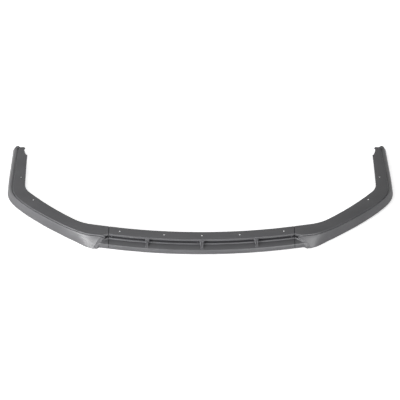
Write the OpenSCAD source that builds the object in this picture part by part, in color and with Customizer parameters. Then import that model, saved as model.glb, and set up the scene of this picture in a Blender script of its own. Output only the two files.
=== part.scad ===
// Front splitter lip in three moulded sections, joined under two seams.
// X runs to the car's left as seen from the front, minus Y is the front, Z is up.

/* [Overall] */
// Height from the underside to the flat top flange
lip_h = 53; // [48:1:64]
// Wall thickness of the mouldings
wall = 3; // [2:0.5:3.5]
// Gap left at each seam between two sections
seam_gap = 3; // [1:0.5:4]
// Radius of the soft moulded edges
edge_r = 1.6; // [0.8:0.2:2.4]

/* [Centre section] */
// Width of the centre section, from seam to seam
centre_w = 820; // [760:10:900]
// Depth of the centre section, from its front edge to the rear edge of the flange
centre_d = 89; // [86:1:100]
// Radius of the bowed front edge, seen from above
bow_r = 2370; // [2000:10:3000]
// Height of the front face, up to the shelf
front_h = 24; // [20:1:26]
// Distance that the front face leans back over its height
front_lean = 5; // [2:1:8]
// Radius of the front face's top edge
front_r = 5; // [2:0.5:6]
// Radius of the front face's bottom edge
foot_r = 4; // [2:0.5:5]
// Rise of the shelf towards the rear
shelf_rise = 4; // [1:0.5:5]
// Distance from the front edge back to the step
step_d = 36; // [30:1:38]
// Height of the step
step_h = 6; // [5:0.5:7]
// Distance from the front edge back to the ledge
ledge_d = 41; // [40:1:46]
// Height of the ledge's face
ledge_h = 9; // [8:0.5:10]
// Depth of the recessed channel under the ledge
channel_d = 10; // [6:1:12]
// Thickness of the web that closes each end of the channel
channel_end_t = 3; // [2:0.5:5]
// Distance of that web from the seam's face
channel_end_in = 3; // [1:0.5:6]
// Width of the flange turned back along the underside
return_w = 51; // [48:1:60]

/* [Fins] */
// Distance between neighbouring fins
fin_pitch = 243; // [200:1:280]
// Width of a fin at its waist
fin_waist = 10; // [8:1:14]
// Greatest width of a fin at its top
fin_top_w = 21; // [16:1:24]
// Reach of a fin in front of the ledge
fin_proud = 2; // [1:0.5:2.5]
// Radius of the hollow in a fin's sides
fin_side_r = 45; // [36:1:70]
// Distance from the front edge back to a fin's waist
fin_waist_d = 21; // [18:1:24]
// Distance from the front edge back to a fin's foot
fin_foot_d = 9; // [8:1:12]
// Width of the rim round the pocket in a fin's crest
fin_rim = 3; // [2:0.5:3.5]
// Depth of that pocket
fin_pocket_d = 3; // [1:0.5:4]

/* [Side sections] */
// Length of the straight run from the seam
run_in_l = 77; // [70:1:90]
// Length of the front bend
bend_l = 91; // [80:1:110]
// Turn of the front bend, in degrees
bend_turn = 24; // [20:0.5:28]
// Length of the diagonal
diagonal_l = 283; // [240:1:330]
// Turn of the slightly bowed diagonal, in degrees
diagonal_turn = 11; // [6:0.5:14]
// Length of the corner's inner edge
corner_l = 61; // [55:1:80]
// Turn of the corner, in degrees
corner_turn = 40.5; // [36:0.5:44]
// Length of the arm
arm_l = 272; // [220:1:320]
// Turn of the slightly bowed arm, in degrees
arm_turn = 2; // [0.5:0.5:4]
// Depth of the groove between flange and blade
groove_deep = 5; // [3:0.5:6]
// Width of the groove along the front and the diagonal
groove_w = 3.5; // [3:0.5:5]
// Width of the groove along the arm
arm_groove_w = 8; // [6:0.5:10]
// Drop of the blade's crest below the flange
crest_drop = 2.8; // [1:0.2:4]
// Drop of the blade's shoulder below the flange
shoulder_drop = 11; // [9:0.5:14]
// Place of the shoulder between crest and foot, as a share
shoulder_share = 0.18; // [0.15:0.01:0.3]
// Place of the shoulder between crest and foot in the arm, as a share
arm_shoulder_share = 0.42; // [0.3:0.01:0.5]
// Radius of the blade's shoulder
shoulder_r = 9; // [4:1:12]
// Radius of the blade's bottom edge
blade_foot_r = 4; // [2:0.5:5]
// Width of the flange turned back under the blade
blade_return_w = 34; // [28:1:40]
// Flange width where the blade starts
flange_start = 61.5; // [58:0.5:64]
// Flange width at the end of the straight run
flange_run = 63; // [58:0.5:66]
// Flange width in the front bend
flange_bend = 56; // [52:0.5:60]
// Flange width in the middle of the diagonal
flange_mid = 60; // [56:0.5:64]
// Flange width before the corner
flange_corner = 65; // [60:0.5:68]
// Flange width at the start of the arm
flange_arm = 55; // [50:0.5:60]
// Flange width at the tip
flange_tip = 42; // [38:0.5:48]
// Reach of the blade's foot beyond the flange where the blade starts
reach_start = 43; // [36:0.5:46]
// Reach of the blade's foot at the end of the straight run
reach_run = 34; // [28:0.5:38]
// Reach of the blade's foot in the front bend
reach_bend = 20; // [18:0.5:24]
// Reach of the blade's foot in the middle of the diagonal
reach_mid = 16; // [14:0.5:22]
// Reach of the blade's foot before the corner
reach_corner = 15.5; // [14:0.5:22]
// Reach of the blade's foot at the start of the arm
reach_arm = 32; // [26:0.5:36]
// Reach of the blade's foot at the tip
reach_tip = 38.5; // [32:0.5:42]

/* [Blade end] */
// Distance from the seam to the top of the blade's end
blade_start = 18; // [16:1:24]
// Forward sweep of the step into the blade's end
step_sweep = 22; // [16:1:24]
// Sweep of the blade's end per millimetre outwards
end_sweep = 0.86; // [0.7:0.02:1]
// Distance over which the sweep fades out
sweep_fade = 76; // [70:1:120]
// Length of the slanted face between the blade's end and its end wall
end_face_l = 13; // [10:1:13]
// Drop of the crest and the shoulder over that face
end_drop = 8; // [5:1:9]
// Distance that the end wall reaches back behind the flange's front edge
end_wall_rear = 14; // [10:1:18]
// Reach of the joint end's walls inside the blade
joint_in = 18; // [16:1:22]

/* [Arm tip] */
// Rearward rake of the blade's end at the tip, per millimetre below the flange
tip_rake = 0.9; // [0.5:0.05:1.1]
// Length of the notch in the inner edge at the tip
notch_l = 58; // [48:1:66]
// Depth of the notch
notch_d = 17; // [12:1:19]
// Length of the pointed nib behind the notch
nib_l = 10; // [8:1:14]
// Reach of the nib's point
nib_w = 4; // [2:0.5:6]
// Length of the peaked locating tab
tab_l = 11; // [6:1:16]
// Distance of the tab's peak from the inner edge
tab_off = 49; // [46:1:52]
// Width of the locating tab at its root
tab_w = 24; // [16:1:26]
// Width of the tab's peak
tab_peak_w = 4; // [2:0.5:6]

/* [Fixing holes] */
// Diameter of the fixing holes
hole_d = 7; // [5:0.5:9]
// Distance of the holes from the rear edge in the centre section
hole_inset = 22; // [16:1:28]
// Distance of the inner pair of holes from the middle
hole_inner_x = 166; // [120:1:190]
// Distance of the outer pair of holes from the middle
hole_outer_x = 362; // [300:1:366]
// Distance of the holes from the inner edge in the side sections
side_hole_inset = 21; // [16:1:26]
// Distance from the seam to the hole before the corner, along the inner edge
corner_hole_s = 398; // [380:1:410]
// Distance from the seam to the hole after the corner
arm_hole_s = 564; // [545:1:580]

/* [Ribs] */
// Thickness of the stiffening ribs
rib_t = 2.5; // [1.5:0.5:3]
// Spacing of the ribs along the diagonal and the arm
rib_pitch = 62; // [50:1:80]

/* [Seam joint] */
// Reach of the tongue under the centre section
tongue_l = 32; // [28:1:44]
// Length of the tongue's root on the side section
tongue_root_l = 20; // [18:1:24]
// Clearance between the tongue and the centre section
tongue_gap = 0.3; // [0.1:0.1:0.6]
// Distance from the front edge to the tongue
tongue_d = 12; // [10:1:14]
// Width of the tongue
tongue_w = 36; // [32:1:38]
// Distance between the two screws of a joint
screw_pitch = 20; // [16:1:22]
// Distance of the screws from the seam
screw_x = 17; // [14:1:20]
// Diameter of the joint screws
screw_d = 5; // [4:0.5:5.5]
// Length of the joint screws
screw_l = 14; // [12.5:0.5:18]
// Diameter of the countersunk heads
head_d = 9.2; // [8:0.2:10]
// Height of the countersunk heads
head_h = 2.4; // [2:0.1:2.6]
// Clearance around screws
fit_gap = 0.25; // [0.1:0.05:0.5]
// Outer diameter of the washers
washer_d = 11; // [10:0.5:12]
// Thickness of the washers
washer_t = 1; // [0.8:0.1:1.6]
// Width of the nuts across flats
nut_af = 8; // [7:0.5:9]
// Height of the nuts
nut_h = 4; // [3:0.5:4.5]

/* [Hidden] */
plastic = [0.27, 0.27, 0.28];
steel = [0.62, 0.63, 0.65];
bow_steps = 360;
round_steps = 48;
arm_stations = 4;
eps = 0.01;
cut = 1;
// Overlap where a fin, a web or a joint end sinks into a wall
sink = 1;
// Inset that keeps two surfaces from lying in one plane
inset = 0.2;
// Smallest radius of a rounded corner, and the largest share of an edge that rounding may take
least_r = 0.3;
edge_share = 0.46;
// Lean of the groove's sides
groove_lean = 1;
// Places of the narrowest flange in the bend and of the middle key in the diagonal, as shares
bend_share = 0.65;
mid_share = 0.4;
// Notch outline as shares of its length from the tip and of its depth
notch_shape = [[1.05, -0.1], [0.98, 0.35], [0.7, 0.7], [0.33, 1]];

// Heights of the centre section's levels
shelf_z = front_h + shelf_rise;
channel_z = shelf_z + step_h;
ledge_z = lip_h - ledge_h;
flange_z = lip_h - wall;
groove_z = lip_h - groove_deep;
crest_z = lip_h - crest_drop;
shoulder_z = lip_h - shoulder_drop;

// Inner edge of the centre's flange, and where a side section starts on it
inner_r = bow_r - centre_d;
seam_x = centre_w / 2;
seam_turn = asin(seam_x / inner_r);
path_start = [seam_x, bow_r - inner_r * cos(seam_turn), seam_turn];

// Lengths and turns of the side section's inner edge
path = [[run_in_l, 0], [bend_l, bend_turn], [diagonal_l, diagonal_turn],
    [corner_l, corner_turn], [arm_l, arm_turn]];
bend_s = run_in_l;
diagonal_s = bend_s + bend_l;
corner_s = diagonal_s + diagonal_l;
arm_s = corner_s + corner_l;
tip_s = arm_s + arm_l;

// Flange width and blade reach along the side section
bend_key = bend_s + bend_l * bend_share;
mid_key = diagonal_s + diagonal_l * mid_share;
widths = [[blade_start, flange_start], [bend_s, flange_run], [bend_key, flange_bend],
    [mid_key, flange_mid], [corner_s - corner_l * mid_share, flange_corner],
    [arm_s, flange_arm], [tip_s, flange_tip]];
reaches = [[blade_start, reach_start], [bend_s, reach_run], [bend_key, reach_bend],
    [mid_key, reach_mid], [corner_s, reach_corner], [arm_s, reach_arm], [tip_s, reach_tip]];

// Position and heading after a length and turn from a start
function arc_step(p, l, turn) =
    turn == 0
    ? [p[0] + l * cos(p[2]), p[1] + l * sin(p[2]), p[2]]
    : let (r = l / (turn * PI / 180), h = p[2] + turn)
      [p[0] + r * (sin(h) - sin(p[2])), p[1] - r * (cos(h) - cos(p[2])), h];

// Position and heading at a distance along the side section's inner edge
function frame_at(s, p = path_start, i = 0) =
    i == len(path) - 1 || s <= path[i][0]
    ? arc_step(p, s, path[i][1] * s / path[i][0])
    : frame_at(s - path[i][0], arc_step(p, path[i][0], path[i][1]), i + 1);

// Point at a distance along the inner edge, an offset outwards and a height
function place(s, off, z) =
    let (f = frame_at(s))
    [f[0] + off * sin(f[2]), f[1] - off * cos(f[2]), z];

// Smooth curve through pairs of position and value
function pair_at(s, k, i = 0) = i >= len(k) - 2 || s < k[i + 1][0] ? i : pair_at(s, k, i + 1);
function slope_at(k, i) =
    let (a = max(i - 1, 0), b = min(i + 1, len(k) - 1))
    (k[b][1] - k[a][1]) / (k[b][0] - k[a][0]);
function smooth_at(s, k) =
    let (i = pair_at(s, k), h = k[i + 1][0] - k[i][0], t = (s - k[i][0]) / h,
        u = t * t, v = u * t)
    (2 * v - 3 * u + 1) * k[i][1] + (v - 2 * u + t) * h * slope_at(k, i)
    + (3 * u - 2 * v) * k[i + 1][1] + (v - u) * h * slope_at(k, i + 1);

// Unit vector, left normal and turn between two plane vectors
function unit(v) = v / norm(v);
function left_of(v) = [-v[1], v[0]];
function turn_of(a, b) = a[0] * b[1] - a[1] * b[0];

// A corner is two coordinates, a radius and its number of steps. This moves a path of them sideways.
function moved(c, t) = [for (i = [0 : len(c) - 1])
    let (p = [c[i][0], c[i][1]],
        a = i > 0 ? unit(p - [c[i - 1][0], c[i - 1][1]]) : undef,
        b = i < len(c) - 1 ? unit([c[i + 1][0], c[i + 1][1]] - p) : undef,
        n = i == 0 ? left_of(b) : i == len(c) - 1 ? left_of(a)
            : (left_of(a) + left_of(b)) / (1 + a * b),
        r = i == 0 || i == len(c) - 1 ? 0
            : turn_of(a, b) * t > 0 ? max(c[i][2] - abs(t), least_r) : c[i][2] + abs(t),
        q = p + n * t)
    [q[0], q[1], r, c[i][3]]];

// Rounds each corner of a path with its number of steps
function rounded(c) = [for (i = [0 : len(c) - 1])
    let (p = [c[i][0], c[i][1]])
    if (i == 0 || i == len(c) - 1) p
    else let (
        q = [c[i - 1][0], c[i - 1][1]] - p, w = [c[i + 1][0], c[i + 1][1]] - p,
        a = unit(q), b = unit(w),
        half = min(89.5, acos(max(-1, min(1, a * b))) / 2),
        reach = min(max(c[i][2] / tan(half), least_r), edge_share * norm(q), edge_share * norm(w)))
        if (half > 89) each [for (k = [0 : c[i][3]]) p + (a + (b - a) * k / c[i][3]) * reach]
        else let (
        r = reach * tan(half),
        m = p + unit(a + b) * r / sin(half),
        n0 = p + a * reach - m,
        sweep = (180 - 2 * half) * sign(turn_of(-a, b)))
        for (k = [0 : c[i][3]])
            let (g = sweep * k / c[i][3])
            m + [n0[0] * cos(g) - n0[1] * sin(g), n0[0] * sin(g) + n0[1] * cos(g)]];

function reversed(a) = [for (i = [len(a) - 1 : -1 : 0]) a[i]];

// Closed outline of a wall along a path of corners, on its left for a side of 1 and its right for -1
function walled(c, side) = concat(rounded(c), reversed(rounded(moved(c, side * wall))));

// Centre section's corners, as distance from the front edge and height
centre_corners = [
    [centre_d, lip_h, 0, 0],
    [ledge_d, lip_h, edge_r, 2],
    [ledge_d, ledge_z, edge_r / 2, 1],
    [ledge_d + channel_d, ledge_z, edge_r / 2, 1],
    [ledge_d + channel_d, channel_z, edge_r / 2, 1],
    [step_d, channel_z, edge_r / 2, 1],
    [step_d, shelf_z, edge_r / 2, 1],
    [front_lean, front_h, front_r, 4],
    [0, 0, foot_r, 4],
    [foot_r + return_w, 0, 0, 0]];

// Sweeps an outline of distances from the front edge and heights along the bow
module bow_sweep(outline, from_x, to_x) {
    a = asin(from_x / inner_r);
    b = asin(to_x / inner_r);
    translate([0, bow_r, 0])
        rotate([0, 0, a - 90])
            rotate_extrude(angle = b - a, $fn = bow_steps)
                polygon([for (p = outline) [bow_r - p[0], p[1]]]);
}

// Moves children to a place on the bow, facing along it
module on_bow(x, d) {
    r = bow_r - d;
    translate([x, bow_r - sqrt(r * r - x * x), 0])
        rotate([0, 0, asin(x / r)])
            children();
}

// Triangles of the sides between rings of n points
function side_faces(n, m) = [for (j = [0 : m - 2]) for (i = [0 : n - 1])
    let (k = (i + 1) % n, a = j * n, b = a + n)
    each [[a + k, a + i, b + k], [b + k, a + i, b + i]]];

// Triangles of a cap laid as a strip between the two walls of a ring
function strip_faces(n, o) = [for (i = [0 : n / 2 - 2])
    each [[o + i, o + i + 1, o + n - 1 - i], [o + i + 1, o + n - 2 - i, o + n - 1 - i]]];

// Wall through rings of points that run out along its outside and back along its inside
module strip_loft(rings) {
    n = len(rings[0]);
    m = len(rings);
    polyhedron(
        points = [for (r = rings) for (p = r) p],
        faces = concat(side_faces(n, m), strip_faces(n, 0),
            [for (f = strip_faces(n, (m - 1) * n)) reversed(f)]));
}

// Plate between two rings of points, each a fan from its first point
module plate_loft(a, b) {
    n = len(a);
    polyhedron(
        points = concat(a, b),
        faces = concat(side_faces(n, 2), [[for (i = [0 : n - 1]) i]],
            [[n, for (i = [n - 1 : -1 : 1]) n + i]]));
}

// Width of the groove, and how far a station lies in the arm, from 0 to 1
function in_arm(s) = max(0, min(1, (s - corner_s) / corner_l));
function groove_at(s) = groove_w + (arm_groove_w - groove_w) * in_arm(s);
function shoulder_at(s) = shoulder_share + (arm_shoulder_share - shoulder_share) * in_arm(s);

// Crest, shoulder and foot of the blade, as offsets from the inner edge and heights
function crest_of(s) = [smooth_at(s, widths) + groove_at(s) + edge_r, crest_z];
function foot_of(s) = [smooth_at(s, widths) + smooth_at(s, reaches), 0];
function shoulder_of(s) =
    [crest_of(s)[0] + (foot_of(s)[0] - crest_of(s)[0]) * shoulder_at(s), shoulder_z];

// Blade section's outer corners
function blade_corners(s) =
    let (w = smooth_at(s, widths), g = groove_at(s), c = crest_of(s), m = shoulder_of(s), f = foot_of(s))
    [[0, lip_h, 0, 0],
    [w, lip_h, edge_r, 2],
    [w + groove_lean, groove_z, edge_r / 2, 1],
    [w + g - groove_lean, groove_z, edge_r / 2, 1],
    [c[0], c[1], edge_r, 1],
    [m[0], m[1], shoulder_r, 3],
    [f[0], f[1], blade_foot_r, 3],
    [f[0] - blade_return_w, 0, 0, 0]];

// Point at a height on a line moved sideways by the wall
function moved_line_x(a, b, z) =
    let (n = left_of(unit(b - a)), p = a - n * wall)
    p[0] + (z - p[1]) * (b[0] - a[0]) / (b[1] - a[1]);

// Blade section's inner corners, one wall inside the outer ones
function blade_inner(s) =
    let (w = smooth_at(s, widths), c = crest_of(s), m = shoulder_of(s), f = foot_of(s),
        z = groove_z - wall,
        x = moved_line_x(c, m, z),
        n = left_of(unit(m - c)) + left_of(unit(f - m)),
        q = m - n * wall / (1 + unit(m - c) * unit(f - m)),
        k = moved_line_x(m, f, wall))
    [[0, flange_z, 0, 0],
    [w - wall + groove_lean, flange_z, edge_r / 2, 2],
    [w - wall + groove_lean, z, edge_r / 2, 1],
    [x, z, edge_r / 2, 1],
    [(x + q[0]) / 2, (z + q[1]) / 2, edge_r / 2, 1],
    [q[0], q[1], shoulder_r - wall, 3],
    [k, wall, blade_foot_r / 3, 3],
    [f[0] - blade_return_w, wall, 0, 0]];

// Sweep of a blade point along the path, strongest at the blade's end, and its rake at the tip
function swept(s, off, z) =
    let (w = smooth_at(s, widths), fade = max(0, min(1, 1 - (s - blade_start) / sweep_fade)),
        tip_fade = max(0, 1 - (tip_s - s) / (arm_l / arm_stations)))
    s + (off > w ? fade * end_sweep * (off - w) + tip_fade * tip_rake * (lip_h - z) : 0);

function blade_ring(s) = [for (p = concat(rounded(blade_corners(s)), reversed(rounded(blade_inner(s)))))
    place(swept(s, p[0], p[1]), p[0], p[1])];

// Stations along the blade, closer where it bends
blade_stations = concat(
    [for (i = [0 : 3]) blade_start + (bend_s - blade_start) * i / 4],
    [for (i = [0 : 5]) bend_s + bend_l * i / 6],
    [for (i = [0 : 5]) diagonal_s + diagonal_l * i / 6],
    [for (i = [0 : 7]) corner_s + corner_l * i / 8],
    [for (i = [0 : arm_stations]) arm_s + arm_l * i / arm_stations]);

module blade_shell() strip_loft([for (s = blade_stations) blade_ring(s)]);

// Joint end's corners: the centre's section, swept forward into the blade's end
function joint_corners(s) =
    let (t = pow(max(0, s) / blade_start, 2), ledge = centre_d - ledge_d,
        l = ledge + (flange_start - ledge) * t,
        p = centre_d - step_d + step_sweep * t)
    [[0, lip_h, 0, 0],
    [l, lip_h, edge_r, 2],
    [l, ledge_z, edge_r / 2, 1],
    [l - channel_d, ledge_z, edge_r / 2, 1],
    [l - channel_d, channel_z, edge_r / 2, 1],
    [p, channel_z, edge_r / 2, 1],
    [p, shelf_z, edge_r / 2, 1],
    [centre_d - front_lean, front_h, front_r, 4],
    [centre_d, 0, foot_r, 4],
    [centre_d - foot_r - return_w, 0, 0, 0]];

// Distance along the path at which an offset meets the seam
function seam_s(off) = (seam_gap / 2 - off * sin(seam_turn)) / cos(seam_turn);

// Joint end's ring, square to the path inside the blade and flat on the seam at the seam
function joint_ring(s) =
    let (t = max(0, s) / blade_start, tuck = s > blade_start ? inset : 0)
    [for (p = walled(joint_corners(min(s, blade_start)), -1))
        place(t >= 1 ? s : seam_s(p[0]) * (1 - t) + s * t, p[0],
            p[1] + tuck * (1 - 2 * p[1] / lip_h))];

joint_l = blade_start + joint_in;
joint_stations = concat([for (i = [0 : 5]) blade_start * i / 5], [blade_start + sink, joint_l]);
module joint_end() strip_loft([for (s = joint_stations) joint_ring(s)]);

// Outline of a plate that fills the hollow, starting where the underside's return ends
function hollow_outline(s) =
    let (r = rounded(moved(blade_corners(s), -wall / 2)), n = len(r))
    concat([r[n - 1]], [r[0] + [wall * 2, 0]], [for (i = [1 : n - 2]) r[i]]);

// Ring of a wall inside the blade, from an offset under the flange round to the underside
function end_wall_ring(s, off) =
    let (r = rounded(moved(blade_corners(s), -wall / 2)), n = len(r))
    [for (p = concat([r[n - 1]], [[off, r[0][1]]], [for (i = [1 : n - 2]) r[i]]))
        place(swept(s, p[0], p[1]), p[0], p[1])];

// Wedge that closes the blade's end, with a slanted face from the skin's edge inboards
module end_face() {
    ring = end_wall_ring(blade_start, flange_start - end_wall_rear);
    along = [cos(path_start[2]), sin(path_start[2]), 0];
    plate_loft(
        [for (p = ring) [p[0], p[1], p[2] * (1 - end_drop / lip_h)] - along * end_face_l],
        [for (p = ring) p + along * wall]);
}

module end_wall(s, off) plate_loft(end_wall_ring(s, off), end_wall_ring(s + wall, off));

// Plate across the hollow, square to the path
module cross_plate(s, t) {
    f = frame_at(s);
    translate([f[0], f[1], 0])
        rotate([90, 0, f[2] - 90])
            translate([0, 0, -t])
                linear_extrude(t)
                    polygon(hollow_outline(s));
}

// Web that closes the joint end behind the seam, parallel to the seam's face
module seam_web() {
    x = seam_x + seam_gap / 2 + sink;
    r = rounded(moved(centre_corners, wall / 2));
    n = len(r);
    translate([x, 0, 0])
        rotate([90, 0, 90])
            linear_extrude(rib_t)
                polygon([for (p = concat([[centre_d - wall, r[0][1]]], [for (i = [1 : n - 2]) r[i]],
                        [[r[n - 1][0] - wall, r[n - 1][1]]]))
                    [bow_r - sqrt(pow(bow_r - p[0], 2) - x * x), p[1]]]);
}

module side_ribs() {
    first = diagonal_s + 4 * wall;
    for (i = [0 : floor((tip_s - first) / rib_pitch) - 1])
        cross_plate(first + rib_pitch * i, rib_t);
}

// Moves children to the arm's tip, with X towards the tip and Y outwards
module at_tip() {
    f = frame_at(tip_s);
    translate([f[0], f[1], 0])
        rotate([0, 0, f[2]])
            mirror([0, 1, 0])
                children();
}

module tip_notch() {
    at_tip()
        translate([0, 0, lip_h - groove_deep - wall])
            linear_extrude(groove_deep + wall + cut)
                polygon([for (p = notch_shape) [-p[0] * notch_l, p[1] * notch_d],
                    [-nib_l, notch_d - nib_w], [nib_w - nib_l, notch_d - nib_w],
                    [cut, notch_d + nib_w], [cut, -cut]]);
}

module tip_tab() {
    at_tip()
        translate([0, 0, flange_z])
            linear_extrude(wall)
                polygon([[-2 * wall, tab_off - tab_w / 2], [0, tab_off - tab_w / 2],
                    [tab_l, tab_off - tab_peak_w / 2], [tab_l, tab_off + tab_peak_w / 2],
                    [tab_peak_w, tab_off + tab_w / 2], [-2 * wall, tab_off + tab_w / 2]]);
}

side_holes = [corner_hole_s, arm_hole_s];

module side_bores() {
    for (s = side_holes) {
        p = place(s, side_hole_inset, 0);
        translate([p[0], p[1], flange_z - cut])
            cylinder(h = wall + 2 * cut, d = hole_d, $fn = round_steps);
    }
}

// Tongue that lies on the centre's return flange, and the foot that joins it to the side's own
module tongue() {
    skew = asin(seam_x / bow_r);
    foot_x = (seam_gap / 2 + (tongue_d + tongue_w) * sin(skew)) / cos(skew) + sink;
    on_bow(seam_x, 0) {
        translate([-tongue_l, tongue_d, wall + tongue_gap])
            cube([tongue_l + tongue_root_l, tongue_w, wall]);
        translate([foot_x, tongue_d + sink, wall / 2])
            cube([tongue_root_l - foot_x - sink, tongue_w - 2 * sink, wall]);
    }
}

screw_mid_d = tongue_d + tongue_w / 2;
function screw_dist(i) = screw_mid_d + (i == 0 ? -1 : 1) * screw_pitch / 2;
screw_at_x = seam_x - screw_x;

module joint_bores() {
    for (i = [0, 1])
        on_bow(screw_at_x, screw_dist(i))
            translate([0, 0, -cut])
                cylinder(h = 2 * wall + tongue_gap + 2 * cut, d = screw_d + 2 * fit_gap,
                    $fn = round_steps);
}

module countersinks() {
    for (i = [0, 1])
        on_bow(screw_at_x, screw_dist(i))
            translate([0, 0, -eps])
                cylinder(h = head_h + fit_gap, d1 = head_d + 2 * fit_gap, d2 = screw_d + 2 * fit_gap,
                    $fn = round_steps);
}

module right_side() {
    color(plastic)
        difference() {
            union() {
                joint_end();
                blade_shell();
                end_face();
                seam_web();
                side_ribs();
                end_wall(tip_s - wall, notch_d + wall);
                tip_tab();
                tongue();
            }
            side_bores();
            tip_notch();
            joint_bores();
        }
}

// Side view of a fin: its crest falls from the ledge to the foot on the shelf
fin_foot_z = front_h + shelf_rise * (fin_foot_d - front_lean) / (step_d - front_lean);
fin_crest_top = [step_d - 2 * fin_proud, ledge_z];
fin_crest_foot = [fin_foot_d + wall, fin_foot_z + fin_proud];
fin_back_d = ledge_d + channel_d + sink;
fin_side = [[fin_back_d, channel_z], [fin_back_d, ledge_z + sink],
    [ledge_d + sink, ledge_z + sink], [ledge_d + sink, lip_h - edge_r * 2],
    [ledge_d - fin_proud, lip_h - edge_r * 2], fin_crest_top, fin_crest_foot,
    [fin_foot_d, fin_foot_z - sink], [step_d + sink, shelf_z - sink],
    [step_d + sink, channel_z - sink]];

// Hourglass outline of a fin from above, drawn in by a rim
module fin_plan(rim) {
    half = 3 * fin_waist;
    difference() {
        translate([-half, fin_foot_d - cut])
            square([2 * half, ledge_d + channel_d]);
        for (i = [-1, 1])
            translate([i * (fin_waist / 2 + fin_side_r), fin_waist_d])
                circle(fin_side_r + rim, $fn = 2 * round_steps);
        for (i = [-1, 1])
            translate([i * (half + fin_top_w / 2 - rim), fin_back_d])
                square(2 * half, center = true);
    }
}

// Pocket under a fin's crest, inside its rim
module fin_pocket() {
    u = unit(fin_crest_foot - fin_crest_top);
    n = left_of(u);
    a = fin_crest_top - u * fin_proud;
    b = fin_crest_foot - u * fin_proud;
    intersection() {
        rotate([90, 0, 90])
            translate([0, 0, -fin_waist])
                linear_extrude(2 * fin_waist)
                    polygon([a - n * wall, b - n * wall, b + n * fin_pocket_d, a + n * fin_pocket_d]);
        linear_extrude(lip_h)
            fin_plan(fin_rim);
    }
}

module fin() {
    difference() {
        intersection() {
            rotate([90, 0, 90])
                translate([0, 0, -2 * fin_waist])
                    linear_extrude(4 * fin_waist)
                        polygon(fin_side);
            linear_extrude(lip_h)
                fin_plan(0);
        }
        fin_pocket();
    }
}

channel_end_x = seam_x - seam_gap / 2 - channel_end_in - channel_end_t / 2;
rib_x = [hole_inner_x / 2, fin_pitch, hole_outer_x - 2 * hole_inset];

// Web that closes the channel by the seam
module channel_end() {
    translate([-channel_end_t / 2, ledge_d + 2 * inset, channel_z - sink])
        cube([channel_end_t, channel_d, ledge_z - channel_z + 2 * sink]);
}

module centre_rib() {
    c = moved(centre_corners, wall / 2);
    translate([-rib_t / 2, 0, 0])
        rotate([90, 0, 90])
            linear_extrude(rib_t)
                polygon(rounded(c));
}

module centre_section() {
    color(plastic)
        difference() {
            union() {
                intersection() {
                    bow_sweep(walled(centre_corners, 1), -seam_x - tongue_l, seam_x + tongue_l);
                    translate([seam_gap / 2 - seam_x, -cut, -cut])
                        cube([centre_w - seam_gap, 4 * centre_d, lip_h + 2 * cut]);
                }
                for (i = [-1 : 1])
                    on_bow(i * fin_pitch, 0)
                        fin();
                for (x = rib_x)
                    for (i = [-1, 1])
                        on_bow(i * x, 0)
                            centre_rib();
                for (i = [-1, 1])
                    on_bow(i * channel_end_x, 0)
                        channel_end();
            }
            for (x = [-hole_outer_x, -hole_inner_x, 0, hole_inner_x, hole_outer_x])
                on_bow(x, centre_d - hole_inset)
                    translate([0, 0, flange_z - cut])
                        cylinder(h = wall + 2 * cut, d = hole_d, $fn = round_steps);
            for (i = [0, 1])
                mirror([i, 0, 0]) {
                    joint_bores();
                    countersinks();
                }
        }
}

module joint_screw(i) {
    color(steel)
        on_bow(screw_at_x, screw_dist(i)) {
            cylinder(h = head_h, d1 = head_d, d2 = screw_d, $fn = round_steps);
            cylinder(h = screw_l, d = screw_d, $fn = round_steps);
        }
}

module joint_washer(i) {
    color(steel)
        on_bow(screw_at_x, screw_dist(i))
            translate([0, 0, 2 * wall + tongue_gap])
                difference() {
                    cylinder(h = washer_t, d = washer_d, $fn = round_steps);
                    translate([0, 0, -cut])
                        cylinder(h = washer_t + 2 * cut, d = screw_d + 2 * fit_gap, $fn = round_steps);
                }
}

module joint_nut(i) {
    color(steel)
        on_bow(screw_at_x, screw_dist(i))
            translate([0, 0, 2 * wall + tongue_gap + washer_t])
                difference() {
                    cylinder(h = nut_h, d = nut_af / cos(30), $fn = 6);
                    translate([0, 0, -cut])
                        cylinder(h = nut_h + 2 * cut, d = screw_d + 2 * fit_gap, $fn = round_steps);
                }
}

// The rearmost point is the raked end's return flange, and the origin is the middle of the footprint
rear_y = place(tip_s + tip_rake * lip_h, foot_of(tip_s)[0] - blade_return_w, 0)[1];
module centred() translate([0, -rear_y / 2, 0]) children();

centred() centre_section();
centred() mirror([1, 0, 0]) right_side();  // left_side_section
centred() right_side();  // right_side_section
centred() joint_screw(0);  // joint_screw_1
centred() joint_screw(1);  // joint_screw_2
centred() mirror([1, 0, 0]) joint_screw(0);  // joint_screw_3
centred() mirror([1, 0, 0]) joint_screw(1);  // joint_screw_4
centred() joint_washer(0);  // joint_washer_1
centred() joint_washer(1);  // joint_washer_2
centred() mirror([1, 0, 0]) joint_washer(0);  // joint_washer_3
centred() mirror([1, 0, 0]) joint_washer(1);  // joint_washer_4
centred() joint_nut(0);  // joint_nut_1
centred() joint_nut(1);  // joint_nut_2
centred() mirror([1, 0, 0]) joint_nut(0);  // joint_nut_3
centred() mirror([1, 0, 0]) joint_nut(1);  // joint_nut_4
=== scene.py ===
"""Front splitter lip in three moulded sections, dressed in its real finishes for a studio picture."""
import logging
import math
from dataclasses import dataclass
from enum import Enum

import bmesh
import bpy
from mathutils import Matrix, Vector


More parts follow.
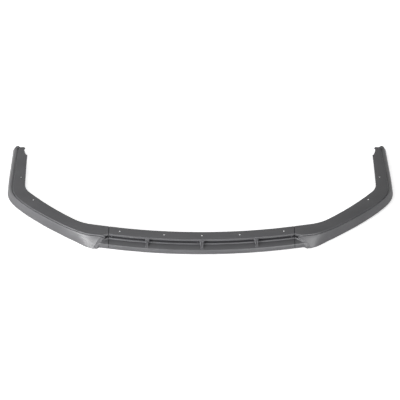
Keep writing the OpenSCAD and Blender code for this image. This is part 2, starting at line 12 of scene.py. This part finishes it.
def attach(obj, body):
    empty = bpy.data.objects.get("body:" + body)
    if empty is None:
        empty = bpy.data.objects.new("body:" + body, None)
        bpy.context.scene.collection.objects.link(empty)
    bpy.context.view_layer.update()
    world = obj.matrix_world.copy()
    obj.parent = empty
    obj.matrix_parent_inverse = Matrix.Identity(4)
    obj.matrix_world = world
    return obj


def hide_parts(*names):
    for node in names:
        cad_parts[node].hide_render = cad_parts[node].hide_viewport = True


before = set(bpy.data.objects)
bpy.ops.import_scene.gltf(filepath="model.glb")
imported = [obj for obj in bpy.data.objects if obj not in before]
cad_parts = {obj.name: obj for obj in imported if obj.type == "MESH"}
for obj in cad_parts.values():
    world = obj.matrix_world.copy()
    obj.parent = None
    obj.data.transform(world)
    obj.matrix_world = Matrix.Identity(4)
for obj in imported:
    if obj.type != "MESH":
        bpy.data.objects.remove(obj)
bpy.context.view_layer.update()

log = logging.getLogger("splitter_lip")

MM = 0.001
ROOT = "root"
HAND_NAMES = {-1: "left", 1: "right"}
# Vertices closer than this, in millimetres, are one: the CAD mesh is loose triangles
MERGE_MM = 0.02
# Edges shorter than this, in millimetres, are dropped with the slivers they belong to
SLIVER_MM = 0.01


class Side(Enum):
    """The two mirrored side sections, by the name of their node."""

    LEFT = "left_side_section"
    RIGHT = "right_side_section"


class Fastener(Enum):
    """The kinds of small steel part in a seam joint, by the start of their nodes' names."""

    SCREW = "joint_screw"
    WASHER = "joint_washer"
    NUT = "joint_nut"


def linear(hex_colour: str) -> tuple[float, float, float, float]:
    """Turns an sRGB hex value into a linear colour.

    Args:
        hex_colour: The colour as "#rrggbb".

    Returns:
        Linear red, green and blue, and an alpha of 1.
    """
    parts = [int(hex_colour[i:i + 2], 16) / 255 for i in (1, 3, 5)]
    values = [c / 12.92 if c <= 0.04045 else ((c + 0.055) / 1.055) ** 2.4 for c in parts]
    return (values[0], values[1], values[2], 1.0)


def add_node(
    tree: bpy.types.NodeTree,
    kind: str,
    settings: dict[str, object] | None = None,
    inputs: dict[str | int, object] | None = None,
) -> bpy.types.Node:
    """Adds one node with its settings and its input values or links.

    Args:
        tree: The node tree that gets the node.
        kind: The node's type name.
        settings: Attributes of the node and their values.
        inputs: Input names or numbers, each with a value or an output socket to link from.

    Returns:
        The new node.
    """
    node = tree.nodes.new(kind)
    for name, value in (settings or {}).items():
        setattr(node, name, value)
    for name, value in (inputs or {}).items():
        if isinstance(value, bpy.types.NodeSocket):
            tree.links.new(value, node.inputs[name])
        else:
            node.inputs[name].default_value = value
    return node


def per_mm(size_mm: float) -> float:
    """Noise scale whose features are about this many millimetres, on coordinates in metres."""
    return 1.0 / (size_mm * MM)


def noise(tree: bpy.types.NodeTree, place: bpy.types.NodeSocket, size_mm: float,
          detail: float) -> bpy.types.NodeSocket:
    """Adds a noise whose features are about this many millimetres.

    Args:
        tree: The node tree that gets the noise.
        place: The coordinates, in metres.
        size_mm: The size of its features.
        detail: Its number of finer layers.

    Returns:
        The noise's value.
    """
    return add_node(tree, "ShaderNodeTexNoise", None,
                    {"Vector": place, "Scale": per_mm(size_mm), "Detail": detail}).outputs["Fac"]


def ramp(tree: bpy.types.NodeTree, value: bpy.types.NodeSocket, low: tuple[float, str],
         high: tuple[float, str]) -> bpy.types.NodeSocket:
    """Adds a ramp between two colours.

    Args:
        tree: The node tree that gets the ramp.
        value: What the ramp follows.
        low: The position and the sRGB hex value of its first colour.
        high: The position and the sRGB hex value of its second colour.

    Returns:
        The ramp's colour.
    """
    node = add_node(tree, "ShaderNodeValToRGB", None, {"Fac": value})
    for element, (position, hex_colour) in zip(node.color_ramp.elements, (low, high)):
        element.position = position
        element.color = linear(hex_colour)
    return node.outputs["Color"]


def towards(azimuth: float, elevation: float) -> Vector:
    """Gives the direction from the lip at an azimuth from its front and an elevation, in degrees."""
    turn, rise = math.radians(azimuth), math.radians(elevation)
    return Vector((math.sin(turn) * math.cos(rise), -math.cos(turn) * math.cos(rise), math.sin(rise)))


def empty_material(name: str) -> tuple[bpy.types.Material, bpy.types.NodeTree]:
    """Makes a material with an empty node tree.

    Args:
        name: The material's name.

    Returns:
        The material and its tree.
    """
    material = bpy.data.materials.new(name)
    material.use_nodes = True
    material.node_tree.nodes.clear()
    return material, material.node_tree


@dataclass(frozen=True)
class MouldedBlackPlastic:
    """Injection-moulded black polypropylene with a satin, lightly textured mould surface.

    The eye reads it by broad, soft reflections that change slowly along each face, a fine grain
    in the light, a slightly greyer tone where the melt flowed thin, and edges that are rounded
    and rubbed a little smoother by handling, with a lighter colour on them that is partly rubbing
    wear and partly a painted highlight.
    """

    name: str = "moulded_black_polypropylene"
    body_hex: str = "#404042"
    flow_hex: str = "#48484a"
    # The edges' lighter colour: partly rubbing wear, partly a painted highlight
    highlight_and_rub_hex: str = "#76767a"
    roughness: float = 0.42
    roughness_swing: float = 0.05
    ior: float = 1.49
    grain_mm: float = 1.6
    peel_mm: float = 9.0
    flow_mm: float = 70.0
    along_flow: float = 0.35
    edge_mm: float = 1.6
    highlight_and_rub_share: float = 0.7
    highlight_and_rub_least: float = 0.45
    highlight_and_rub_patch_mm: float = 24.0
    rub_polish: float = 0.1

    def build(self) -> bpy.types.Material:
        """Builds the shader from object coordinates, so that it stays put on the part.

        Returns:
            The finished material.
        """
        material, tree = empty_material(self.name)
        place = add_node(tree, "ShaderNodeTexCoord").outputs["Object"]
        # Slow changes of tone along the flow of the melt, longer across the car than along it
        drawn = add_node(tree, "ShaderNodeMapping", None,
                         {"Vector": place, "Scale": (self.along_flow, 1.0, 1.0)}).outputs[0]
        flow = add_node(tree, "ShaderNodeTexNoise", None,
                        {"Vector": drawn, "Scale": per_mm(self.flow_mm), "Detail": 3.0,
                         "Roughness": 0.55}).outputs["Fac"]
        tone = ramp(tree, flow, (0.35, self.body_hex), (0.7, self.flow_hex))
        sheen = add_node(tree, "ShaderNodeMapRange", None,
                         {"Value": flow, "From Min": 0.3, "From Max": 0.7,
                          "To Min": self.roughness - self.roughness_swing,
                          "To Max": self.roughness + self.roughness_swing}).outputs[0]
        # Edges are about 1 mm round in reality, and are drawn a little wider here so that they show
        rounded = add_node(tree, "ShaderNodeBevel", {"samples": 6},
                           {"Radius": self.edge_mm * MM}).outputs["Normal"]
        facing = add_node(tree, "ShaderNodeNewGeometry").outputs["Normal"]
        turned = add_node(tree, "ShaderNodeVectorMath", {"operation": "DOT_PRODUCT"},
                          {0: rounded, 1: facing}).outputs["Value"]
        # Painted highlight and wear: where the rounded normal turns away from the face, the edges are
        # painted lighter in patches, partly as rubbing wear and partly as a painted highlight
        patchy = noise(tree, place, self.highlight_and_rub_patch_mm, 3.0)
        highlight_and_rub_amount = add_node(tree, "ShaderNodeMapRange", None,
                        {"Value": patchy, "From Min": 0.3, "From Max": 0.65,
                         "To Min": self.highlight_and_rub_least * self.highlight_and_rub_share, "To Max": self.highlight_and_rub_share}).outputs[0]
        edge_highlight_and_rub = add_node(tree, "ShaderNodeMapRange", None,
                       {"Value": turned, "From Min": 0.995, "From Max": 0.93,
                        "To Min": 0.0, "To Max": highlight_and_rub_amount}).outputs[0]
        skin_tone = add_node(tree, "ShaderNodeMix", {"data_type": "RGBA"},
                             {0: edge_highlight_and_rub, 6: tone, 7: linear(self.highlight_and_rub_hex)}).outputs[2]
        skin_sheen = add_node(tree, "ShaderNodeMath", {"operation": "MULTIPLY_ADD"},
                              {0: edge_highlight_and_rub, 1: -self.rub_polish, 2: sheen}).outputs[0]
        # The mould's real grain is about 0.3 mm, and is drawn coarser here so that it shows
        grain = noise(tree, place, self.grain_mm, 2.0)
        # A faint waviness of the cooled wall, which softens the edges of reflections
        peel = noise(tree, place, self.peel_mm, 1.0)
        wavy = add_node(tree, "ShaderNodeBump", None,
                        {"Height": peel, "Strength": 0.12, "Distance": 0.4 * MM,
                         "Normal": rounded}).outputs[0]
        skin = add_node(tree, "ShaderNodeBump", None,
                        {"Height": grain, "Strength": 0.25, "Distance": 0.06 * MM,
                         "Normal": wavy}).outputs[0]
        shader = add_node(tree, "ShaderNodeBsdfPrincipled", None,
                          {"Base Color": skin_tone, "Roughness": skin_sheen,
                           "IOR": self.ior, "Normal": skin})
        add_node(tree, "ShaderNodeOutputMaterial", None, {"Surface": shader.outputs[0]})
        return material


@dataclass(frozen=True)
class SeamShadeFoam:
    """Closed-cell EPDM foam tape, as used to close a seam between two trim parts.

    The eye reads a dead black with no reflection, broken only by its small open surface cells. In the
    seams this near-black is painted shade, standing where the gaps are in shade.
    """

    name: str = "painted_shade_foam"
    # Painted shade: the near-black that the seam gaps show
    body_hex: str = "#18181a"
    cell_hex: str = "#0e0e0f"
    roughness: float = 0.92
    sheen: float = 0.15
    cell_mm: float = 0.9

    def build(self) -> bpy.types.Material:
        """Builds the shader from object coordinates.

        Returns:
            The finished material.
        """
        material, tree = empty_material(self.name)
        place = add_node(tree, "ShaderNodeTexCoord").outputs["Object"]
        # Real cells are about 0.3 mm, and are drawn coarser here so that they show
        cells = add_node(tree, "ShaderNodeTexVoronoi", None,
                         {"Vector": place, "Scale": per_mm(self.cell_mm)}).outputs["Distance"]
        tone = ramp(tree, cells, (0.1, self.cell_hex), (0.6, self.body_hex))
        bump = add_node(tree, "ShaderNodeBump", None,
                        {"Height": cells, "Strength": 0.5, "Distance": 0.2 * MM}).outputs[0]
        shader = add_node(tree, "ShaderNodeBsdfPrincipled", None,
                          {"Base Color": tone, "Roughness": self.roughness,
                           "Specular IOR Level": self.sheen, "Normal": bump})
        add_node(tree, "ShaderNodeOutputMaterial", None, {"Surface": shader.outputs[0]})
        return material


@dataclass(frozen=True)
class ZincPlatedSteel:
    """Turned or pressed steel, zinc plated and passivated.

    The eye reads a cool, slightly cloudy metal with a trace of yellow in the clouds and fine
    tool marks under the plating.
    """

    name: str = "zinc_plated_steel"
    plate_hex: str = "#b4b7ba"
    cloud_hex: str = "#a9a796"
    roughness: float = 0.34
    polish: float = 0.06
    haze: float = 0.1
    cloud_mm: float = 3.0
    mark_mm: float = 0.4

    def build(self) -> bpy.types.Material:
        """Builds the shader from object coordinates.

        Returns:
            The finished material.
        """
        material, tree = empty_material(self.name)
        place = add_node(tree, "ShaderNodeTexCoord").outputs["Object"]
        cloud = noise(tree, place, self.cloud_mm, 3.0)
        tone = ramp(tree, cloud, (0.35, self.plate_hex), (0.75, self.cloud_hex))
        rough = add_node(tree, "ShaderNodeMapRange", None,
                         {"Value": cloud, "To Min": self.roughness - self.polish,
                          "To Max": self.roughness + self.haze}).outputs[0]
        marks = noise(tree, place, self.mark_mm, 2.0)
        bump = add_node(tree, "ShaderNodeBump", None,
                        {"Height": marks, "Strength": 0.2, "Distance": 0.03 * MM}).outputs[0]
        shader = add_node(tree, "ShaderNodeBsdfPrincipled", None,
                          {"Base Color": tone, "Metallic": 1.0,
                           "Roughness": rough, "Normal": bump})
        add_node(tree, "ShaderNodeOutputMaterial", None, {"Surface": shader.outputs[0]})
        return material


def dress_node(node: str, material: bpy.types.Material) -> None:
    """Gives a CAD node its finish in every material slot.

    Args:
        node: The node's name.
        material: The finish.
    """
    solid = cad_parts[node]
    if not solid.material_slots:
        solid.data.materials.append(material)
    for place in solid.material_slots:
        place.material = material


def add_piece(name: str, mesh: bpy.types.Mesh, material: bpy.types.Material) -> bpy.types.Object:
    """Adds a piece of black trim that rides on the lip.

    Args:
        name: The piece's name.
        mesh: Its mesh, in the shared frame.
        material: Its finish.

    Returns:
        The new piece, at the origin.
    """
    mesh.materials.clear()
    mesh.materials.append(material)
    piece = bpy.data.objects.new(name, mesh)
    bpy.context.scene.collection.objects.link(piece)
    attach(piece, ROOT)
    return piece


def mesh_of(name: str, shape: bmesh.types.BMesh) -> bpy.types.Mesh:
    """Turns a finished bmesh into a mesh and frees it."""
    mesh = bpy.data.meshes.new(name)
    shape.to_mesh(mesh)
    shape.free()
    return mesh


def smooth_skin(node: str, plastic: bpy.types.Material, angle: float) -> bpy.types.Object:
    """Stands a merged copy of a CAD node's mesh in its place, shaded smooth up to an angle.

    Args:
        node: The CAD node that the skin follows.
        plastic: The skin's finish.
        angle: The sharpest edge, in degrees, that still looks rounded.

    Returns:
        The new piece, at the origin.
    """
    name = node + "_skin"
    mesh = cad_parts[node].data.copy()
    mesh.name = name
    skin = bmesh.new()
    skin.from_mesh(mesh)
    bmesh.ops.remove_doubles(skin, verts=skin.verts, dist=MERGE_MM * MM)
    bmesh.ops.dissolve_degenerate(skin, dist=SLIVER_MM * MM, edges=skin.edges)
    for face in skin.faces:
        face.smooth = True
    skin.to_mesh(mesh)
    skin.free()
    if "custom_normal" in mesh.attributes:
        mesh.attributes.remove(mesh.attributes["custom_normal"])
    mesh.set_sharp_from_angle(angle=math.radians(angle))
    piece = add_piece(name, mesh, plastic)
    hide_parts(node)
    return piece


@dataclass
class SideSection:
    """One swept side section: joint end, blade, corner, arm and notched tip."""

    side: Side
    plastic: bpy.types.Material
    round_up_to: float = 24.0

    def build(self) -> bpy.types.Object:
        """Makes the section's skin, smooth along its bends and crisp at its creases.

        Returns:
            The piece that stands for the CAD node.
        """
        return smooth_skin(self.side.value, self.plastic, self.round_up_to)


@dataclass
class CentreSection:
    """The bowed centre section with its flange, channel, shelf and three fins."""

    plastic: bpy.types.Material
    node: str = "centre_section"
    round_up_to: float = 24.0

    def build(self) -> bpy.types.Object:
        """Makes the section's skin, smooth along the bow and crisp at its creases.

        Returns:
            The piece that stands for the CAD node.
        """
        return smooth_skin(self.node, self.plastic, self.round_up_to)


@dataclass
class SeamShadeSeal:
    """A near-black foam strip stuck under the flanges, which closes the gap of one seam from above as
    painted shade for that gap.

    It lies on the roof of the recessed channel and ends at the side section's web. Its sizes
    are in millimetres, with front and rear measured back from the centre's front edge.
    """

    shade_foam: bpy.types.Material
    hand: int
    inner_x: float = 399.0
    outer_x: float = 412.4
    front: float = 44.4
    rear: float = 88.4
    low_z: float = 47.1
    high_z: float = 49.95
    bow_radius: float = 2370.0
    bow_centre_y: float = 2006.1865
    edge: float = 0.5

    def build(self) -> bpy.types.Object:
        """Shapes the strip from a cube that is slanted to the bow, with its edges broken.

        Returns:
            The strip.
        """
        mid_x = (self.inner_x + self.outer_x) / 2
        middle = self.bow_radius - (self.front + self.rear) / 2
        reach = math.sqrt(middle ** 2 - mid_x ** 2)
        mid_y = self.bow_centre_y - reach
        slant = Matrix.Identity(4)
        slant[1][0] = mid_x / reach
        size = Matrix.Diagonal((self.outer_x - self.inner_x, self.rear - self.front,
                                self.high_z - self.low_z, 1.0))
        place = Matrix.Translation((mid_x, mid_y, (self.low_z + self.high_z) / 2))
        to_hand = Matrix.Diagonal((self.hand * MM, MM, MM, 1.0))
        strip = bmesh.new()
        bmesh.ops.create_cube(strip, size=1.0)
        bmesh.ops.transform(strip, matrix=to_hand @ place @ slant @ size, verts=strip.verts)
        bmesh.ops.bevel(strip, geom=strip.edges, offset=self.edge * MM, offset_type="OFFSET",
                        affect="EDGES", segments=2, profile=0.5, material=-1)
        bmesh.ops.recalc_face_normals(strip, faces=strip.faces)
        name = "seam_shade_seal_" + HAND_NAMES[self.hand]
        return add_piece(name, mesh_of(name, strip), self.shade_foam)


@dataclass
class SeamShadeGasket:
    """A thin foam gasket in the gap of one seam, a little below the outer surface.

    It follows the wall's own section, and its near-black is painted shade for the gap, so that the
    seam shows as one dark line from above. Its sizes are in millimetres.
    """

    shade_foam: bpy.types.Material
    hand: int
    node: str = "centre_section"
    end_x: float = 408.5
    clear: float = 0.25
    thick: float = 2.5
    below: float = 1.15
    plane_slack: float = 0.05

    def build(self) -> bpy.types.Object:
        """Takes the centre's end face, draws it in from its edges and thickens it across the gap.

        Returns:
            The gasket.
        """
        strip = bmesh.new()
        strip.from_mesh(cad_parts[self.node].data)
        bmesh.ops.remove_doubles(strip, verts=strip.verts, dist=MERGE_MM * MM)
        plane = self.hand * self.end_x * MM
        slack = self.plane_slack * MM
        others = [f for f in strip.faces if any(abs(v.co.x - plane) > slack for v in f.verts)]
        bmesh.ops.delete(strip, geom=others, context="FACES")
        rim = bmesh.ops.inset_region(strip, faces=strip.faces, thickness=self.below * MM,
                                     use_boundary=True, use_even_offset=True)["faces"]
        bmesh.ops.delete(strip, geom=rim, context="FACES")
        bmesh.ops.translate(strip, verts=strip.verts, vec=(self.hand * self.clear * MM, 0.0, 0.0))
        grown = bmesh.ops.extrude_face_region(strip, geom=strip.faces, use_keep_orig=True)["geom"]
        bmesh.ops.translate(strip, verts=[g for g in grown if isinstance(g, bmesh.types.BMVert)],
                            vec=(self.hand * self.thick * MM, 0.0, 0.0))
        bmesh.ops.recalc_face_normals(strip, faces=strip.faces)
        name = "seam_shade_gasket_" + HAND_NAMES[self.hand]
        return add_piece(name, mesh_of(name, strip), self.shade_foam)


@dataclass
class SeamJoints:
    """The steel screws, washers and nuts under the two seams."""

    steel: bpy.types.Material
    per_kind: int = 4

    def build(self) -> list[str]:
        """Dresses each fastener's CAD node.

        Returns:
            The names of the nodes.
        """
        nodes = [f"{kind.value}_{i + 1}" for kind in Fastener for i in range(self.per_kind)]
        for node in nodes:
            dress_node(node, self.steel)
        return nodes


@dataclass(frozen=True)
class Softbox:
    """One studio light that faces the lip."""

    name: str
    azimuth: float
    elevation: float
    width: float
    height: float
    power: float
    distance: float = 4.0
    aim: tuple[float, float, float] = (0.0, 0.0, 0.02)

    def build(self) -> bpy.types.Object:
        """Places the light on a sphere round the lip.

        Returns:
            The light.
        """
        away = towards(self.azimuth, self.elevation)
        lamp = bpy.data.lights.new(self.name, "AREA")
        lamp.shape = "RECTANGLE"
        lamp.size = self.width
        lamp.size_y = self.height
        lamp.energy = self.power
        lamp_object = bpy.data.objects.new(self.name, lamp)
        bpy.context.scene.collection.objects.link(lamp_object)
        lamp_object.location = Vector(self.aim) + away * self.distance
        lamp_object.rotation_euler = away.to_track_quat("Z", "Y").to_euler()
        return lamp_object


@dataclass
class Studio:
    """The pale floor, the white surround, the softboxes and the camera.

    The softboxes were chosen for the lip in the picture: low strips give the blades their sheen,
    and a soft light from behind lights the flange at a plain level.
    """

    floor_size: float = 24.0
    floor_drop: float = 0.0004
    floor_hex: str = "#f4f4f4"
    glossy_share: float = 0.5
    floor_glow: float = 0.9
    painted_shadow_reach: float = 0.06
    world_fill: float = 0.12
    target: tuple[float, float, float] = (-0.004818, -0.033167, 0.025)
    azimuth: float = -1.219
    elevation: float = 42.0
    roll: float = 0.768
    distance: float = 5.0
    focal_px: float = 1089.6
    image_px: int = 400
    sensor_mm: float = 36.0
    far_clip: float = 100.0
    softboxes: tuple[Softbox, ...] = (
        Softbox("low_front_left_50", -50.0, 12.0, 1.6, 1.6, 70.1),
        Softbox("lift_front_left_45", -45.0, 26.0, 1.2, 1.2, 70.1),
        Softbox("strip_front_left_45", -45.0, 4.0, 2.6, 0.5, 64.3),
        Softbox("strip_front_right_30", 30.0, 4.0, 2.6, 0.5, 64.3),
        Softbox("low_front_right_25", 25.0, 12.0, 1.6, 1.6, 55.4),
        Softbox("strip_front_left_60", -60.0, 4.0, 2.6, 0.5, 48.2),
        Softbox("strip_front_left_30", -30.0, 4.0, 2.6, 0.5, 41.9),
        Softbox("top_back_middle_180", 180.0, 64.0, 2.2, 2.2, 10.0),
        Softbox("low_back_middle_180", 180.0, 12.0, 2.6, 1.6, 45.0),
    )

    def floor(self) -> bpy.types.Object:
        """Lays the floor, white to the camera yet open to the lip's real shadow, with a painted contact
        shadow round the lip.

        Returns:
            The floor.
        """
        sheet = bmesh.new()
        bmesh.ops.create_grid(sheet, x_segments=2, y_segments=2, size=self.floor_size / 2)
        bmesh.ops.translate(sheet, verts=sheet.verts, vec=(0.0, 0.0, -self.floor_drop))
        mesh = mesh_of("studio_floor", sheet)
        material, tree = empty_material("pale_studio_floor")
        matt = add_node(tree, "ShaderNodeBsdfDiffuse", None, {"Color": linear(self.floor_hex)})
        path = add_node(tree, "ShaderNodeLightPath")
        seen = add_node(tree, "ShaderNodeMath", {"operation": "MULTIPLY_ADD"},
                        {0: path.outputs["Is Glossy Ray"], 1: self.glossy_share,
                         2: path.outputs["Is Camera Ray"]}).outputs[0]
        # Painted shadow: ambient occlusion takes the glow away under and close to the lip, so that a
        # painted contact shadow joins the lip's real shadow on the floor
        painted_shadow_opening = add_node(tree, "ShaderNodeAmbientOcclusion", {"samples": 8},
                           {"Distance": self.painted_shadow_reach}).outputs["AO"]
        glow_past_painted_shadow = add_node(tree, "ShaderNodeMath", {"operation": "MULTIPLY"},
                             {0: painted_shadow_opening, 1: self.floor_glow}).outputs[0]
        lift = add_node(tree, "ShaderNodeMath", {"operation": "MULTIPLY"},
                        {0: seen, 1: glow_past_painted_shadow}).outputs[0]
        glow = add_node(tree, "ShaderNodeEmission", None, {"Strength": lift})
        both = add_node(tree, "ShaderNodeAddShader", None, {0: matt.outputs[0], 1: glow.outputs[0]})
        add_node(tree, "ShaderNodeOutputMaterial", None, {"Surface": both.outputs[0]})
        mesh.materials.append(material)
        floor = bpy.data.objects.new("studio_floor", mesh)
        bpy.context.scene.collection.objects.link(floor)
        return floor

    def surround(self) -> None:
        """Makes the world white to the camera and in reflections, and a plain fill elsewhere."""
        world = bpy.data.worlds.new("white_surround")
        bpy.context.scene.world = world
        world.use_nodes = True
        tree = world.node_tree
        tree.nodes.clear()
        path = add_node(tree, "ShaderNodeLightPath")
        clear = add_node(tree, "ShaderNodeMath", {"operation": "MAXIMUM"},
                         {0: path.outputs["Is Camera Ray"],
                          1: path.outputs["Is Transmission Ray"]}).outputs[0]
        seen = add_node(tree, "ShaderNodeMath", {"operation": "MAXIMUM"},
                        {0: clear, 1: path.outputs["Is Glossy Ray"]}).outputs[0]
        strength = add_node(tree, "ShaderNodeMapRange", None,
                            {"Value": seen, "To Min": self.world_fill, "To Max": 1.0}).outputs[0]
        light = add_node(tree, "ShaderNodeBackground", None,
                         {"Color": (1.0, 1.0, 1.0, 1.0), "Strength": strength})
        add_node(tree, "ShaderNodeOutputWorld", None, {"Surface": light.outputs[0]})

    def camera(self) -> bpy.types.Object:
        """Sets the camera at the picture's viewpoint.

        Returns:
            The camera.
        """
        turn, roll = math.radians(self.azimuth), math.radians(self.roll)
        back = towards(self.azimuth, self.elevation)
        right = Vector((math.cos(turn), math.sin(turn), 0.0))
        up = back.cross(right)
        across = right * math.cos(roll) + up * math.sin(roll)
        rising = up * math.cos(roll) - right * math.sin(roll)
        data = bpy.data.cameras.new("picture_camera")
        data.sensor_width = self.sensor_mm
        data.lens = self.focal_px / self.image_px * self.sensor_mm
        data.clip_end = self.far_clip
        camera = bpy.data.objects.new("picture_camera", data)
        bpy.context.scene.collection.objects.link(camera)
        place = Matrix((across, rising, back)).transposed().to_4x4()
        place.translation = Vector(self.target) + back * self.distance
        camera.matrix_world = place
        bpy.context.scene.camera = camera
        return camera

    def build(self) -> None:
        """Sets up the whole studio, with its colours shown as they are."""
        bpy.context.scene.view_settings.view_transform = "Standard"
        self.floor()
        self.surround()
        for box in self.softboxes:
            box.build()
        self.camera()


def main() -> None:
    """Builds the studio, then the sections, the seals and the joints in order, and logs each but the
    studio.
    """
    logging.basicConfig(level=logging.INFO, format="%(message)s")
    Studio().build()
    plastic = MouldedBlackPlastic().build()
    steel = ZincPlatedSteel().build()
    shade_foam = SeamShadeFoam().build()
    log.info("centre: %s", CentreSection(plastic).build().name)
    for side in Side:
        log.info("side: %s", SideSection(side, plastic).build().name)
    for hand in HAND_NAMES:
        log.info("seal: %s", SeamShadeSeal(shade_foam, hand).build().name)
        gasket = SeamShadeGasket(shade_foam, hand).build()
        log.info("gasket: %s, %d faces", gasket.name, len(gasket.data.polygons))
    log.info("joints: %d fasteners", len(SeamJoints(steel).build()))


if __name__ == "__main__":
    main()
